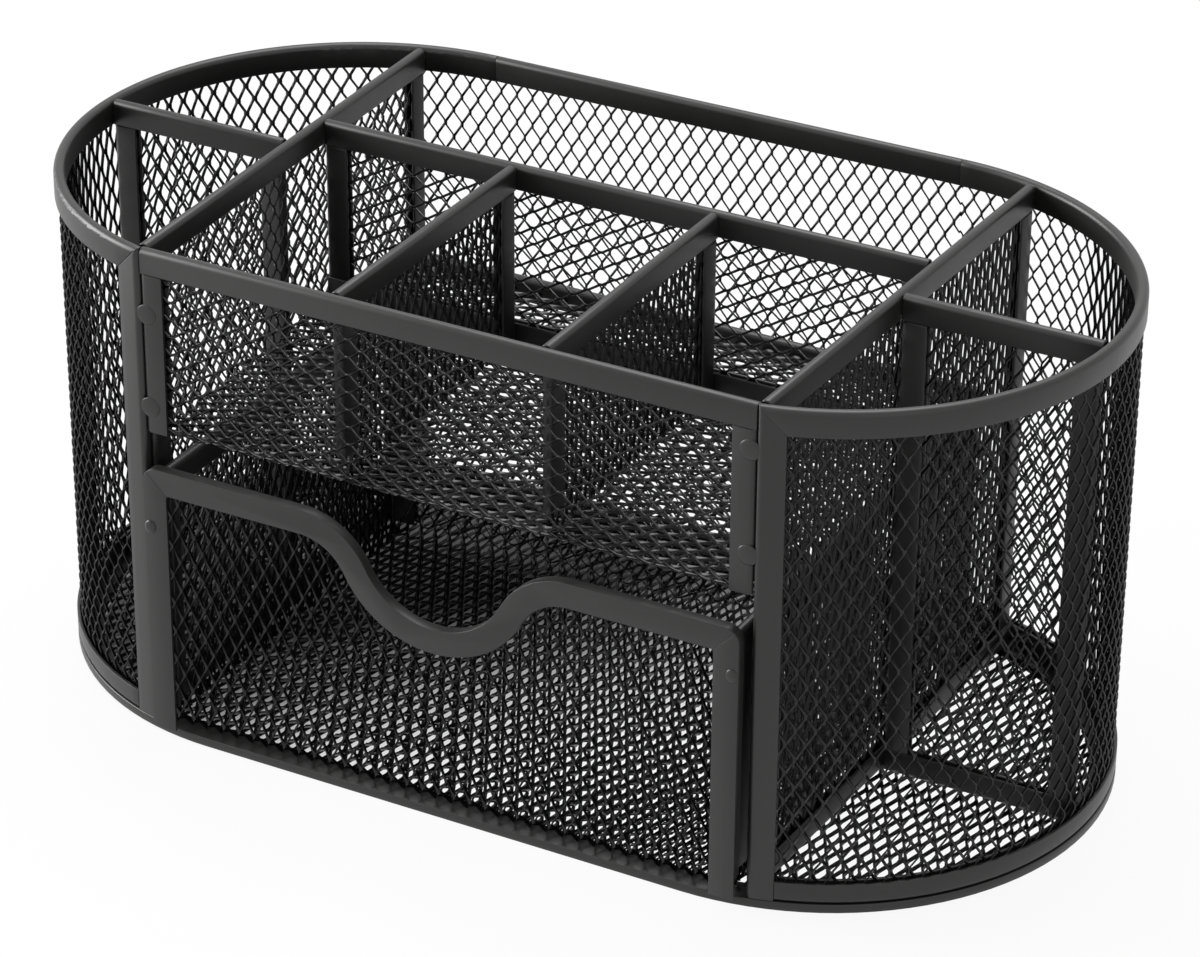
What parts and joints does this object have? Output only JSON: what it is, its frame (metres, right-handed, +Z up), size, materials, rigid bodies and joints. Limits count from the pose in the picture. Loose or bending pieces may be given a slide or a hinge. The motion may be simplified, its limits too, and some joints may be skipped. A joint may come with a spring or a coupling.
{
  "type": "desk organizer with drawer",
  "caption": "Desk organizer of expanded steel mesh with round ends, upright dividers, a front tray and a sliding drawer with a finger dip.",
  "frame": {"origin": "middle of the footprint on the table", "axes": "+X along the tub, the drawer opens towards -Y, +Z up"},
  "size_m": [0.213, 0.1139, 0.1005],
  "materials": {
    "expanded_mesh": "satin black powder coat",
    "folded_hem": "satin black powder coat",
    "weld_boss": "satin black powder coat"
  },
  "bodies": {
    "tub": {"base_mesh": "expanded_mesh", "base_rim": "folded_hem", "bottom_strip_back": "folded_hem", "bottom_strip_left": "folded_hem", "bottom_strip_right": "folded_hem", "centre_divider_bottom_hem": "folded_hem", "centre_divider_end_hems": "folded_hem", "centre_divider_mesh": "expanded_mesh", "centre_divider_top_hem": "folded_hem", "drawer_stop_panel_end_hems": "folded_hem", "drawer_stop_panel_mesh": "expanded_mesh", "drawer_stop_panel_top_hem": "folded_hem", "end_divider_left_bottom_hem": "folded_hem", "end_divider_left_end_hems": "folded_hem", "end_divider_left_mesh": "expanded_mesh", "end_divider_left_top_hem": "folded_hem", "end_divider_right_bottom_hem": "folded_hem", "end_divider_right_end_hems": "folded_hem", "end_divider_right_mesh": "expanded_mesh", "end_divider_right_top_hem": "folded_hem", "front_panel_and_tray_mesh": "expanded_mesh", "front_panel_hem_left": "folded_hem", "front_panel_hem_right": "folded_hem", "front_panel_top_hem": "folded_hem", "front_panel_welds": "weld_boss", "post_left": "folded_hem", "post_right": "folded_hem", "short_divider_left_end_hems": "folded_hem", "short_divider_left_mesh": "expanded_mesh", "short_divider_left_top_hem": "folded_hem", "short_divider_right_end_hems": "folded_hem", "short_divider_right_mesh": "expanded_mesh", "short_divider_right_top_hem": "folded_hem", "side_divider_left_bottom_hem": "folded_hem", "side_divider_left_end_hems": "folded_hem", "side_divider_left_mesh": "expanded_mesh", "side_divider_left_top_hem": "folded_hem", "side_divider_right_bottom_hem": "folded_hem", "side_divider_right_end_hems": "folded_hem", "side_divider_right_mesh": "expanded_mesh", "side_divider_right_top_hem": "folded_hem", "top_rim_back": "folded_hem", "top_rim_left": "folded_hem", "top_rim_right": "folded_hem", "wall_mesh_back": "expanded_mesh", "wall_mesh_left": "expanded_mesh", "wall_mesh_right": "expanded_mesh"},
    "drawer": {"drawer_back_hem": "folded_hem", "drawer_front_hem_left": "folded_hem", "drawer_front_hem_right": "folded_hem", "drawer_front_top_hem": "folded_hem", "drawer_side_left_end_hems": "folded_hem", "drawer_side_left_mesh": "expanded_mesh", "drawer_side_left_top_hem": "folded_hem", "drawer_side_right_end_hems": "folded_hem", "drawer_side_right_mesh": "expanded_mesh", "drawer_side_right_top_hem": "folded_hem", "drawer_welds": "weld_boss", "drawer_wrap_mesh": "expanded_mesh"}
  },
  "joints": [
    {"name": "drawer_slide", "type": "slide", "parent": "tub", "child": "drawer", "axis": [0, -1, 0], "range_m": [0, 0.07]}
  ]
}
